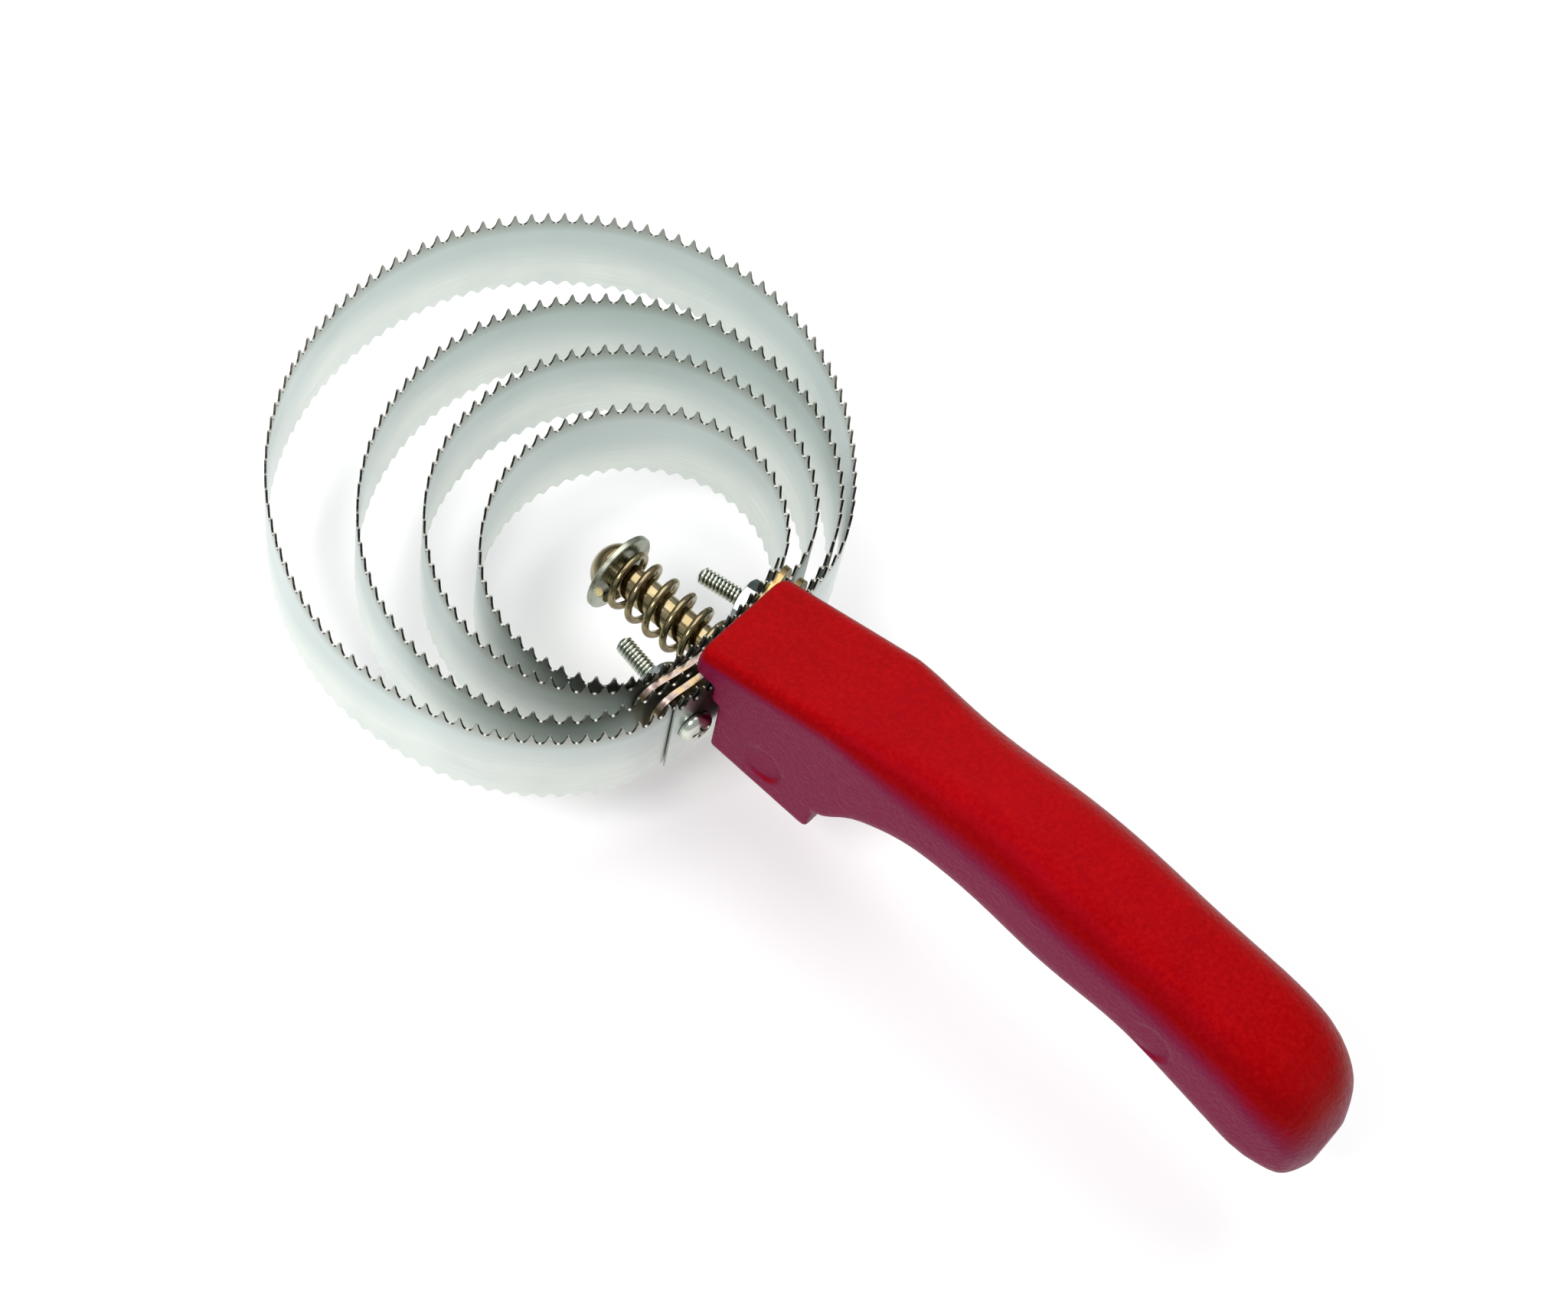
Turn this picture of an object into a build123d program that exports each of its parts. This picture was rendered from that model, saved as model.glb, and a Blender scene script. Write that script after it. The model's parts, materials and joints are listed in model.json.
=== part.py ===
"""Reversible spiral curry comb: a toothed spring-steel spiral in a two-plate clamp,
carried on a spring-loaded bolt by an offset moulded handle.

The handle is pulled back against the spring and turned half a turn about the bolt, so that
either toothed edge of the spiral can face the coat while the grip stays raised.
Row frame: +X along the bolt from the spiral to the handle, +Z up, origin at the middle of the
bounding box's base.
"""

import os
from math import cos, radians, sin

from build123d import *

os.makedirs("parts", exist_ok=True)

# ---------------------------------------------------------------- driving dimensions (mm)
# where the bolt axis crosses the middle of the clamp, in the row frame
clamp_x = -16.2
clamp_y = -5.2
clamp_z = 10.4

# spring-steel strip
strip_thick = 0.45
strip_top = 11.2
strip_bottom = -10.4
tooth_pitch = 3.175
tooth_depth = 3.0
tooth_tip = 0.28
gullet_width = 1.0
gullet_rise = 0.3
scallop_depth = 1.35
scallop_centre_drop = 0.1
strip_hole = 7.2
inner_tail_y = 17.3
outer_tail_y = -18.9

# clamp plates and the layers of strip between and beside them
plate_thick = 1.2
plate_length = 41.0
plate_top = 9.0
plate_corner = 5.0
middle_gap = 0.6
inner_gap = 0.2
outer_gap = 1.35
layer_gap = 0.25
inner_plate_radius = 75.0
outer_plate_radius = 110.0
middle_layer_radius = 90.0
clamp_reach = 10.0  # half depth of a cut that passes every layer of the clamp

# clamp screws, no. 6-32 pan heads, 3/4 inch long
screw_y = 13.8
screw_splay = 9.0
screw_major = 3.5
screw_minor = 2.75
screw_pitch = 0.794
thread_crest = (0.4, 0.6)  # where a thread's crest starts and ends, as shares of its pitch
screw_length = 20.6
screw_point = 0.3
screw_hole = 4.3
seat_gap = 0.15
thread_start = 8.6
head_diameter = 6.9
head_height = 2.1
head_wall = 0.25  # height of the upright part of the head, as a share of the head's height
recess_width = 3.7
recess_slot = 0.8
recess_depth = 1.5
nut_flats = 7.94
nut_thick = 2.8
nut_chamfer = 0.5
nut_seat = 8.8

# draw bolt, washer and spring; the bolt is a 1/4 inch round head, no. 20 thread
bolt_diameter = 6.35
bolt_end = 24.0
bolt_head_diameter = 10.0
bolt_head_height = 4.2
washer_diameter = 15.9
washer_thick = 1.2
washer_chamfer = 0.2
washer_face = -26.7
running_clearance = 0.1
bolt_thread_root = 5.1
bolt_thread_pitch = 1.27
bolt_thread_start = 11.0
bolt_point = 0.4
spring_diameter = 11.8
wire_diameter = 1.4
spring_front = -3.75
spring_turns = 6.0
spring_gap = 0.15
captive_flats = 11.1
captive_thick = 5.6
captive_x = 15.0
press_gap = 0.05

# handle
handle_front = 4.9
boss_radius = 9.6
boss_height = 2.5
block_half_width = 12.0
block_under = -6.0
block_top_front = 19.1
block_top_back = 25.9
block_back = 29.7
block_top_round = 4.0
block_low_round = 1.5
bolt_socket = 6.8
socket_end = 25.0
witness_diameter = 8.0
witness_depth = 0.3
witness_marks = [(clamp_x + 18.3, clamp_z + 1.5), (clamp_x + 101.9, clamp_z + 14.2)]


def at(x, y, z=0.0):
    """A point given from the clamp's centre, in the row frame."""
    return (clamp_x + x, clamp_y + y, clamp_z + z)


def across_bolt(x):
    """The plane square to the bolt at x, with local x along row +Y and local y along row +Z."""
    return Plane(origin=at(x, 0, 0), x_dir=(0, 1, 0), z_dir=(1, 0, 0))


# layer centres at the bolt, counted from the middle of the strip between the two plates
plate_centre = strip_thick / 2 + middle_gap + plate_thick / 2
plate_face = plate_centre + plate_thick / 2
inner_near = plate_face + inner_gap + strip_thick / 2
inner_far = inner_near + strip_thick + layer_gap
outer_near = plate_face + outer_gap + strip_thick / 2
outer_far = outer_near + strip_thick + layer_gap
seat = outer_far + strip_thick / 2


def sag(y, radius):
    """How far a layer of this radius has curved back towards the spiral at y."""
    return radius - (radius**2 - y**2) ** 0.5


def layer(x, radius):
    """Points that hold one layer of the strip against its plate, from +Y to -Y."""
    return [(x - sag(y, radius), y) for y in (18.0, 9.0, 0.0, -9.0, -18.0)]


# ---------------------------------------------------------------- spiral blade
# The strip passes the clamp five times; between passes it makes four rings, smallest first.
ring_4 = [(-10.2, -24.3), (-22.8, -28.5), (-36.3, -25.4), (-48.2, -14.2), (-53.5, 3.8),
          (-48.0, 20.8), (-36.6, 30.4), (-23.9, 32.2), (-12.2, 27.2)]
ring_3 = [(-8.6, -25.0), (-19.0, -31.7), (-33.0, -33.2), (-48.0, -27.9), (-60.8, -15.4),
          (-66.6, 2.2), (-63.4, 21.7), (-51.5, 36.2), (-36.0, 42.0), (-21.4, 40.5),
          (-9.6, 33.2), (-3.6, 24.6)]
ring_2 = [(-3.4, -24.6), (-9.2, -34.2), (-20.4, -40.9), (-35.9, -42.7), (-52.6, -38.2),
          (-67.4, -26.6), (-77.2, -9.0), (-79.5, 10.5), (-72.5, 31.2), (-56.5, 46.0),
          (-38.0, 50.5), (-20.1, 46.9), (-7.1, 37.4), (0.0, 25.6)]
ring_1 = [(0.9, -25.0), (-4.4, -34.8), (-15.8, -44.9), (-31.5, -50.7), (-48.0, -51.6),
          (-66.0, -46.3), (-83.0, -34.4), (-95.3, -15.9), (-100.2, 7.1), (-97.3, 27.5),
          (-85.0, 47.1), (-66.5, 59.2), (-44.5, 62.1), (-22.6, 54.5), (-6.6, 40.4), (1.4, 26.2)]

strip_points = (
    [(-inner_far - sag(inner_tail_y, inner_plate_radius), inner_tail_y)]
    + layer(-inner_far, inner_plate_radius)[1:]
    + ring_4
    + layer(-inner_near, inner_plate_radius)
    + ring_3
    + layer(0.0, middle_layer_radius)
    + ring_2
    + layer(outer_near, outer_plate_radius)
    + ring_1
    + layer(outer_far, outer_plate_radius)[:4]
    + [(outer_far - sag(outer_tail_y, outer_plate_radius), outer_tail_y)]
)


def strip_stations():
    """Centre-line points one tooth pitch apart, and the strip's direction at each."""
    with BuildLine() as route:
        Spline(*[at(x, y) for x, y in strip_points])
    line = route.wires()[0]
    count = int(line.length / tooth_pitch)
    places = [line.position_at(i / count) for i in range(count + 1)]
    directions = [line.tangent_at(i / count) for i in range(count + 1)]
    return places, directions


def plan(x, y):
    """A point given from the clamp's centre, for sketches on XY planes."""
    return (clamp_x + x, clamp_y + y)


places, directions = strip_stations()
sides = [direction.cross(Vector(0, 0, 1)) * (strip_thick / 2) for direction in directions]
outline = [(p.X + s.X, p.Y + s.Y) for p, s in zip(places, sides)]
outline += [(p.X - s.X, p.Y - s.Y) for p, s in reversed(list(zip(places, sides)))]


def tooth_plane(start, end):
    """The plane of one tooth space: local x along the strip, local y up."""
    run = (end - start).normalized()
    return Plane(origin=(start + end) / 2, x_dir=run, z_dir=run.cross(Vector(0, 0, 1)))


tooth_planes = [tooth_plane(a, b) for a, b in zip(places, places[1:])]
gullet_floor = strip_top - tooth_depth
mouth = (tooth_pitch - tooth_tip) / 2
over = 0.5

# one tooth space and the shallow scallop below it, cut at every pitch along the strip
with BuildPart() as tooth_cutter:
    with BuildSketch():
        with BuildLine():
            Polyline((gullet_width / 2, gullet_floor + gullet_rise), (mouth, strip_top),
                     (mouth, strip_top + over), (-mouth, strip_top + over), (-mouth, strip_top),
                     (-gullet_width / 2, gullet_floor + gullet_rise), (0, gullet_floor), close=True)
        make_face()
        with Locations((0, strip_bottom - scallop_centre_drop)):
            Circle(scallop_depth + scallop_centre_drop)
    extrude(amount=strip_thick, both=True)


def screw_line(side):
    """A clamp screw's axis, as a plane on the seat of its head with local z along the shank."""
    edge = seat - sag(screw_y, outer_plate_radius) + seat_gap
    angle = radians(screw_splay)
    return Plane(origin=at(edge, side * screw_y), x_dir=(0, 0, 1),
                 z_dir=(-cos(angle), -side * sin(angle), 0))


with BuildPart() as spiral_blade:
    with BuildSketch(Plane.XY.offset(clamp_z + strip_bottom)):
        with BuildLine():
            Polyline(*outline, close=True)
        make_face()
    extrude(amount=strip_top - strip_bottom)
    with Locations(*tooth_planes):
        add(tooth_cutter.part, mode=Mode.SUBTRACT)
    with BuildSketch(across_bolt(0)):
        Circle(strip_hole / 2)
    extrude(amount=clamp_reach, both=True, mode=Mode.SUBTRACT)
    with BuildSketch(screw_line(1), screw_line(-1)):
        Circle(screw_hole / 2)
    extrude(amount=clamp_reach, both=True, mode=Mode.SUBTRACT)
spiral_blade.part.label = "spiral_blade"
export_step(spiral_blade.part, "parts/spiral_blade.step")

# ---------------------------------------------------------------- clamp plates
# Each plate is curved like the layers of strip it presses on, concave towards the spiral.
plates = (("inner_clamp_plate", -plate_centre, inner_plate_radius),
          ("outer_clamp_plate", plate_centre, outer_plate_radius))
for name, middle, radius in plates:
    front = middle + plate_thick / 2
    back = middle - plate_thick / 2
    half = plate_length / 2 + over
    drop = sag(half, radius)
    with BuildPart() as clamp_plate:
        with BuildSketch(Plane.XY.offset(clamp_z - plate_top)):
            with BuildLine():
                ThreePointArc(plan(front - drop, half), plan(front, 0), plan(front - drop, -half))
                Line(plan(front - drop, -half), plan(back - drop, -half))
                ThreePointArc(plan(back - drop, -half), plan(back, 0), plan(back - drop, half))
                Line(plan(back - drop, half), plan(front - drop, half))
            make_face()
        extrude(amount=2 * plate_top)
        with BuildSketch(across_bolt(0)):
            RectangleRounded(plate_length, 2 * plate_top, plate_corner)
        extrude(amount=clamp_reach, both=True, mode=Mode.INTERSECT)
        with BuildSketch(across_bolt(0)):
            Circle(bolt_diameter / 2 + running_clearance)
        extrude(amount=clamp_reach, both=True, mode=Mode.SUBTRACT)
        with BuildSketch(screw_line(1), screw_line(-1)):
            Circle(screw_hole / 2)
        extrude(amount=clamp_reach, both=True, mode=Mode.SUBTRACT)
    clamp_plate.part.label = name
    export_step(clamp_plate.part, f"parts/{name}.step")

# ---------------------------------------------------------------- clamp screws and nuts
# Pan heads on the handle's side, nuts on the spiral's side. A thread is drawn as rings.
thread_count = int((screw_length - thread_start - 2 * screw_point) / screw_pitch)
thread_end = thread_start + thread_count * screw_pitch
thread_profile = []
for i in range(thread_count):
    start = thread_start + i * screw_pitch
    thread_profile += [(screw_minor / 2, start), (screw_major / 2, start + screw_pitch * thread_crest[0]),
                       (screw_major / 2, start + screw_pitch * thread_crest[1])]

head_radius = head_diameter / 2
chamfer_low = nut_flats * 0.49  # just inside the flats
chamfer_high = nut_flats * 0.6  # outside the corners

for side, name in ((1, "left"), (-1, "right")):
    axis = screw_line(side)
    with BuildPart() as clamp_screw:
        with BuildSketch(Plane(origin=axis.origin, x_dir=axis.x_dir, z_dir=-axis.y_dir)):
            with BuildLine():
                Line((0, screw_length), (0, -head_height))
                Line((0, -head_height), (head_radius * 0.5, -head_height))
                ThreePointArc((head_radius * 0.5, -head_height),
                              (head_radius * 0.86, -head_height * 0.75),
                              (head_radius, -head_height * head_wall))
                Polyline((head_radius, -head_height * head_wall), (head_radius, 0),
                         (screw_major / 2, 0), (screw_major / 2, thread_start - screw_point),
                         *thread_profile, (screw_minor / 2, thread_end),
                         (screw_minor / 2, screw_length - screw_point),
                         (screw_minor / 2 - screw_point, screw_length), (0, screw_length))
            make_face()
        revolve(axis=Axis(axis.origin, axis.z_dir))
        with BuildSketch(axis.offset(-head_height)):
            with PolarLocations(0, 2, angular_range=90, start_angle=45):
                Rectangle(recess_width, recess_slot)
        extrude(amount=recess_depth, taper=8, mode=Mode.SUBTRACT)
    clamp_screw.part.label = f"{name}_clamp_screw"
    export_step(clamp_screw.part, f"parts/{name}_clamp_screw.step")

    with BuildPart() as clamp_nut:
        with BuildSketch(axis.offset(nut_seat)):
            RegularPolygon(nut_flats / 2, 6, major_radius=False)
        extrude(amount=nut_thick)
        with BuildSketch(Plane(origin=axis.origin, x_dir=axis.x_dir, z_dir=-axis.y_dir)):
            with BuildLine():
                Polyline((0, nut_seat), (chamfer_low, nut_seat), (chamfer_high, nut_seat + nut_chamfer),
                         (chamfer_high, nut_seat + nut_thick - nut_chamfer),
                         (chamfer_low, nut_seat + nut_thick), (0, nut_seat + nut_thick), close=True)
            make_face()
        revolve(axis=Axis(axis.origin, axis.z_dir), mode=Mode.INTERSECT)
        with BuildSketch(axis.offset(nut_seat)):
            Circle(screw_major / 2 + press_gap)
        extrude(amount=nut_thick, mode=Mode.SUBTRACT)
    clamp_nut.part.label = f"{name}_clamp_nut"
    export_step(clamp_nut.part, f"parts/{name}_clamp_nut.step")

# ---------------------------------------------------------------- draw bolt and washer
# The low head rests on the washer at the spring's free end; the other end holds the handle.
bolt_seat = washer_face - washer_thick - running_clearance
bolt_threads = int((bolt_end - bolt_thread_start - 2 * bolt_point) / bolt_thread_pitch)
bolt_profile = []
for i in range(bolt_threads):
    start = bolt_thread_start + i * bolt_thread_pitch
    bolt_profile += [(start, bolt_thread_root / 2),
                     (start + bolt_thread_pitch * thread_crest[0], bolt_diameter / 2),
                     (start + bolt_thread_pitch * thread_crest[1], bolt_diameter / 2)]

with BuildPart() as draw_bolt:
    with BuildSketch(Plane(origin=at(0, 0), x_dir=(1, 0, 0), z_dir=(0, -1, 0))):
        with BuildLine():
            Line((bolt_end, 0), (bolt_seat - bolt_head_height, 0))
            ThreePointArc((bolt_seat - bolt_head_height, 0),
                          (bolt_seat - bolt_head_height * 0.76, bolt_head_diameter * 0.34),
                          (bolt_seat - bolt_head_height * head_wall, bolt_head_diameter / 2))
            Polyline((bolt_seat - bolt_head_height * head_wall, bolt_head_diameter / 2),
                     (bolt_seat, bolt_head_diameter / 2), (bolt_seat, bolt_diameter / 2),
                     (bolt_thread_start - bolt_point, bolt_diameter / 2), *bolt_profile,
                     (bolt_end - bolt_point, bolt_thread_root / 2),
                     (bolt_end, bolt_thread_root / 2 - bolt_point), (bolt_end, 0))
        make_face()
    revolve(axis=Axis(at(0, 0), (1, 0, 0)))
draw_bolt.part.label = "draw_bolt"
export_step(draw_bolt.part, "parts/draw_bolt.step")

with BuildPart() as bolt_washer:
    with BuildSketch(across_bolt(washer_face)):
        Circle(washer_diameter / 2)
        Circle(bolt_diameter / 2 + running_clearance, mode=Mode.SUBTRACT)
    extrude(amount=-washer_thick)
    rim = bolt_washer.edges().filter_by(GeomType.CIRCLE).group_by(SortBy.RADIUS)[-1]
    chamfer(rim, length=washer_chamfer)
bolt_washer.part.label = "bolt_washer"
export_step(bolt_washer.part, "parts/bolt_washer.step")


# ---------------------------------------------------------------- return spring
coil_radius = (spring_diameter - wire_diameter) / 2
coil_start = washer_face + wire_diameter / 2 + spring_gap
coil_length = spring_front - wire_diameter / 2 - coil_start

with BuildPart() as return_spring:
    with BuildLine():
        coil = Helix(coil_length / spring_turns, coil_length, coil_radius,
                     center=at(coil_start, 0), direction=(1, 0, 0))
    with BuildSketch(Plane(origin=coil @ 0, z_dir=coil % 0)):
        Circle(wire_diameter / 2)
    sweep(is_frenet=True)
return_spring.part.label = "return_spring"
export_step(return_spring.part, "parts/return_spring.step")

# ---------------------------------------------------------------- handle
# Each row of the grip: x, half width, underside, top, corner radius. The first lies just inside the block.
grip_rows = ((29.2, 11.9, -0.8, 25.6, 4.0), (32.5, 12.0, 0.6, 26.4, 4.6), (36.2, 11.9, 3.2, 26.8, 5.6),
             (40.7, 11.7, 5.0, 27.25, 6.6), (47.7, 11.5, 6.8, 28.0, 7.6), (54.7, 11.5, 7.2, 28.9, 8.0),
             (65.7, 11.8, 7.3, 29.7, 8.2), (76.7, 12.2, 6.5, 29.3, 8.2), (86.7, 12.1, 6.3, 28.4, 8.0),
             (95.7, 11.8, 5.7, 27.7, 8.0), (106.7, 11.9, 3.4, 26.5, 8.0), (117.7, 12.0, 0.4, 24.7, 8.0),
             (124.7, 11.4, -1.2, 21.6, 8.4), (128.9, 10.0, -1.7, 18.4, 8.4),
             (131.7, 7.2, -0.6, 13.6, 6.6), (132.9, 3.6, 2.0, 9.4, 3.4))

with BuildPart() as handle:
    for x, top in ((handle_front, block_top_front), (block_back, block_top_back)):
        with BuildSketch(across_bolt(x)):
            with Locations((0, (top + block_under) / 2)):
                body = Rectangle(2 * block_half_width, top - block_under)
            fillet(body.vertices().sort_by(Axis.Z)[-2:], block_top_round)
            fillet(body.vertices().sort_by(Axis.Z)[:2], block_low_round)
    loft(ruled=True)
    for x, half, under, top, corner in grip_rows:
        with BuildSketch(across_bolt(x)):
            with Locations((0, (top + under) / 2)):
                RectangleRounded(2 * half, top - under, corner)
    loft()
    # relief around the boss, so that the block turns past the screw heads
    with BuildSketch(across_bolt(handle_front)):
        Rectangle(3 * block_half_width, 6 * block_half_width)
        Circle(boss_radius, mode=Mode.SUBTRACT)
    extrude(amount=boss_height, mode=Mode.SUBTRACT)
    with BuildSketch(across_bolt(handle_front)):
        Circle(bolt_socket / 2)
    extrude(amount=socket_end - handle_front, mode=Mode.SUBTRACT)
    with BuildSketch(across_bolt(captive_x)):
        RegularPolygon(captive_flats / 2 + press_gap, 6, major_radius=False)
    extrude(amount=captive_thick + 2 * press_gap, mode=Mode.SUBTRACT)
    with BuildSketch(Plane.XZ.offset(block_half_width - clamp_y)):
        with Locations(*witness_marks):
            Circle(witness_diameter / 2)
    extrude(amount=-witness_depth, mode=Mode.SUBTRACT)
handle.part.label = "handle"
export_step(handle.part, "parts/handle.step")

with BuildPart() as captive_nut:
    with BuildSketch(across_bolt(captive_x + press_gap)):
        RegularPolygon(captive_flats / 2, 6, major_radius=False)
        Circle(bolt_diameter / 2 + press_gap, mode=Mode.SUBTRACT)
    extrude(amount=captive_thick)
captive_nut.part.label = "captive_nut"
export_step(captive_nut.part, "parts/captive_nut.step")
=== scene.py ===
import json
from math import cos, pi, radians, sin, sqrt, tau

import bmesh
import bpy
import numpy as np
from mathutils import Matrix, Vector


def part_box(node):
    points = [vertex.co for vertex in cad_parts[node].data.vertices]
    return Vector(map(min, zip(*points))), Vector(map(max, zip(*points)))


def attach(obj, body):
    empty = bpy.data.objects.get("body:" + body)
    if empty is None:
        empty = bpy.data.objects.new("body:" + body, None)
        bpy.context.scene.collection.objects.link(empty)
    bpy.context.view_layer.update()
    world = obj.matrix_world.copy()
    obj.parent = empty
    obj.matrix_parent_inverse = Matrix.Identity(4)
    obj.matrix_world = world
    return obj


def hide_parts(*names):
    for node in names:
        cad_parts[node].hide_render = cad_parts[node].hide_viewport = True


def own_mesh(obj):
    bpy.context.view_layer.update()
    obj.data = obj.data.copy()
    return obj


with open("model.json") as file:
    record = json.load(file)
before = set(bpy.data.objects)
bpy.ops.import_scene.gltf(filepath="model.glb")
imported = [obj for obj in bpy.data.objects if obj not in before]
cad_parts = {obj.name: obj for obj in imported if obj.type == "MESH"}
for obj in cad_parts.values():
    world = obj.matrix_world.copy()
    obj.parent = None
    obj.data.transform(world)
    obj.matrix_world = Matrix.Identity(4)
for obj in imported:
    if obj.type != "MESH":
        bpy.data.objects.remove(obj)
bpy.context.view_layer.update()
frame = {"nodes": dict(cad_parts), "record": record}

# ---------------------------------------------------------------- sizes, in millimetres
MM = 0.001
TURN = next(j for j in frame["record"]["behaviour"]["joints"] if j["name"] == "handle_turn")
CLAMP = Vector(TURN["pos_m"]) / MM

STRIP_THICK = 0.42
STRIP_TOP = 11.2
STRIP_BOTTOM = -10.4
TOOTH_PITCH = 3.175
TOOTH_DEPTH = 2.7
TIP_RADIUS = 0.24
GULLET_RADIUS = 0.98
SCALLOP_DEPTH = 1.3
BAND_LOW = -8.4
BAND_HIGH = 7.6
BOLT_HOLE = 3.6

SCREW_Y = 13.8
SCREW_SPLAY = radians(9)
SCREW_MAJOR = 1.75
SCREW_MINOR = 1.32
SCREW_PITCH = 0.794
SCREW_LENGTH = 20.6
SCREW_HEAD = 3.45
SCREW_HEAD_HEIGHT = 2.1
SCREW_POINT = 0.4
RECESS_WIDE = 1.95
RECESS_NARROW = 0.42
RECESS_FLOOR = 0.45

WIRE = 0.7
COIL = 5.2
COIL_START = radians(209)

BLOCK_HALF = 12.0
BLOCK_UNDER = -5.8
BLOCK_BACK = 29.8
HOOD_FRONT = 0.0
HOOD_UNDER = 11.9
SEAT_FRONT = 4.9
POCKET_BACK = 6.7
POCKET_TOP = 7.6
POCKET_SIDE = 9.0
BORE = 3.4
BORE_END = 25.2
SKIN_CELL = 0.42

FLOOR_HALF = 1400.0
FLOOR_GAP = 0.5

# the camera looks at a point given from the clamp's centre
CAMERA_AIM = (4.5, 9.9, 0.0)
CAMERA_DISTANCE = 541.5
CAMERA_AZIMUTH = radians(-61.12)
CAMERA_ELEVATION = radians(57.36)
CAMERA_ROLL = radians(14.68)
CAMERA_LENS = 68.72


def place(x, y, z):
    """A point given from the clamp's centre in millimetres, in the row frame in metres."""
    return (CLAMP + Vector((x, y, z))) * MM


# ---------------------------------------------------------------- curves
def end_slope(knots, values, at_end):
    """The slope of the cubic through the four points at one end."""
    part = slice(-4, None) if at_end else slice(0, 4)
    here = knots[-1] if at_end else knots[0]
    fit = np.polyfit(knots[part] - here, values[part], 3)
    return fit[2]


def smooth_curve(knots, values):
    """A function that runs through the values with continuous curvature."""
    knots = np.asarray(knots, float)
    values = np.asarray(values, float)
    steps = np.diff(knots)
    rises = np.diff(values)
    size = len(knots)
    system = np.zeros((size, size))
    target = np.zeros(size)
    system[0, 0] = system[-1, -1] = 1
    target[0] = end_slope(knots, values, False)
    target[-1] = end_slope(knots, values, True)
    for i in range(1, size - 1):
        system[i, i - 1] = 1 / steps[i - 1]
        system[i, i] = 2 / steps[i - 1] + 2 / steps[i]
        system[i, i + 1] = 1 / steps[i]
        target[i] = 3 * (rises[i - 1] / steps[i - 1] ** 2 + rises[i] / steps[i] ** 2)
    slopes = np.linalg.solve(system, target)

    def value(t):
        i = np.clip(np.searchsorted(knots, t, side="right") - 1, 0, size - 2)
        h = steps[i]
        u = (t - knots[i]) / h
        return (values[i] * (1 + 2 * u) * (1 - u) ** 2 + values[i + 1] * u * u * (3 - 2 * u)
                + slopes[i] * h * u * (1 - u) ** 2 - slopes[i + 1] * h * u * u * (1 - u))

    return value


def arc_round(distance, radius):
    """How far a face has dropped back at this distance inside its rounded edge."""
    inside = np.clip(distance / radius, 0, 1)
    return radius * (1 - np.sqrt(1 - (1 - inside) ** 2))


# ---------------------------------------------------------------- meshes
def new_object(name, verts, faces):
    """An object from vertices in millimetres from the clamp's centre."""
    mesh = bpy.data.meshes.new(name)
    mesh.from_pydata([place(*v) for v in verts], [], faces)
    mesh.validate()
    mesh.update()
    obj = bpy.data.objects.new(name, mesh)
    bpy.context.scene.collection.objects.link(obj)
    return obj


def set_uv(obj, uv):
    """Writes one uv pair per vertex into the mesh's uv layer."""
    layer = obj.data.uv_layers.new(name="along")
    corners = np.empty(len(obj.data.loops), dtype=np.int32)
    obj.data.loops.foreach_get("vertex_index", corners)
    layer.uv.foreach_set("vector", np.asarray(uv, np.float32)[corners].ravel())


def smooth(obj, angle):
    """Smooth shading that stays sharp where faces meet at more than this angle."""
    obj.data.polygons.foreach_set("use_smooth", [True] * len(obj.data.polygons))
    obj.data.set_sharp_from_angle(angle=radians(angle))


def grid_faces(rows, columns, closed_rows=False, closed_columns=False):
    """Quads of a grid of rows by columns, numbered row by row."""
    faces = []
    for r in range(rows if closed_rows else rows - 1):
        for c in range(columns if closed_columns else columns - 1):
            a = r * columns + c
            b = r * columns + (c + 1) % columns
            d = ((r + 1) % rows) * columns + c
            e = ((r + 1) % rows) * columns + (c + 1) % columns
            faces.append((a, b, e, d))
    return faces


def outward(obj):
    """Turns the faces of a closed mesh outward."""
    work = bmesh.new()
    work.from_mesh(obj.data)
    bmesh.ops.recalc_face_normals(work, faces=work.faces)
    work.to_mesh(obj.data)
    work.free()


def apply_modifiers(obj):
    """Bakes an object's modifiers into its mesh."""
    depsgraph = bpy.context.evaluated_depsgraph_get()
    mesh = bpy.data.meshes.new_from_object(obj.evaluated_get(depsgraph))
    obj.modifiers.clear()
    obj.data = mesh


def cut(obj, tools):
    """Cuts the tools out of obj and deletes them."""
    for tool in tools:
        outward(tool)
        modifier = obj.modifiers.new("cut", "BOOLEAN")
        modifier.operation = "DIFFERENCE"
        modifier.solver = "EXACT"
        modifier.object = tool
    apply_modifiers(obj)
    for tool in tools:
        bpy.data.objects.remove(tool)


def bar(name, x, y, z):
    """A cutting block between two corners, each axis given as a (low, high) pair."""
    verts = [(i, j, k) for i in x for j in y for k in z]
    faces = [(0, 1, 3, 2), (4, 6, 7, 5), (0, 4, 5, 1), (2, 3, 7, 6), (0, 2, 6, 4), (1, 5, 7, 3)]
    return new_object(name, verts, faces)


def rod(name, x, radius, sides=48):
    """A cutting cylinder round the bolt's axis between two places along it."""
    ring = [(radius * cos(tau * i / sides), radius * sin(tau * i / sides)) for i in range(sides)]
    verts = [(x[0], a, b) for a, b in ring] + [(x[1], a, b) for a, b in ring]
    faces = grid_faces(2, sides, closed_columns=True)
    faces += [tuple(range(sides)), tuple(range(2 * sides - 1, sides - 1, -1))]
    return new_object(name, verts, faces)


# ---------------------------------------------------------------- materials
def material(name, color, metallic=0.0, roughness=0.5):
    """A material with a principled shader, and its node tree."""
    made = bpy.data.materials.new(name)
    made.use_nodes = True
    shader = made.node_tree.nodes["Principled BSDF"]
    shader.inputs["Base Color"].default_value = (*color, 1)
    shader.inputs["Metallic"].default_value = metallic
    shader.inputs["Roughness"].default_value = roughness
    return made, made.node_tree, shader


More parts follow.
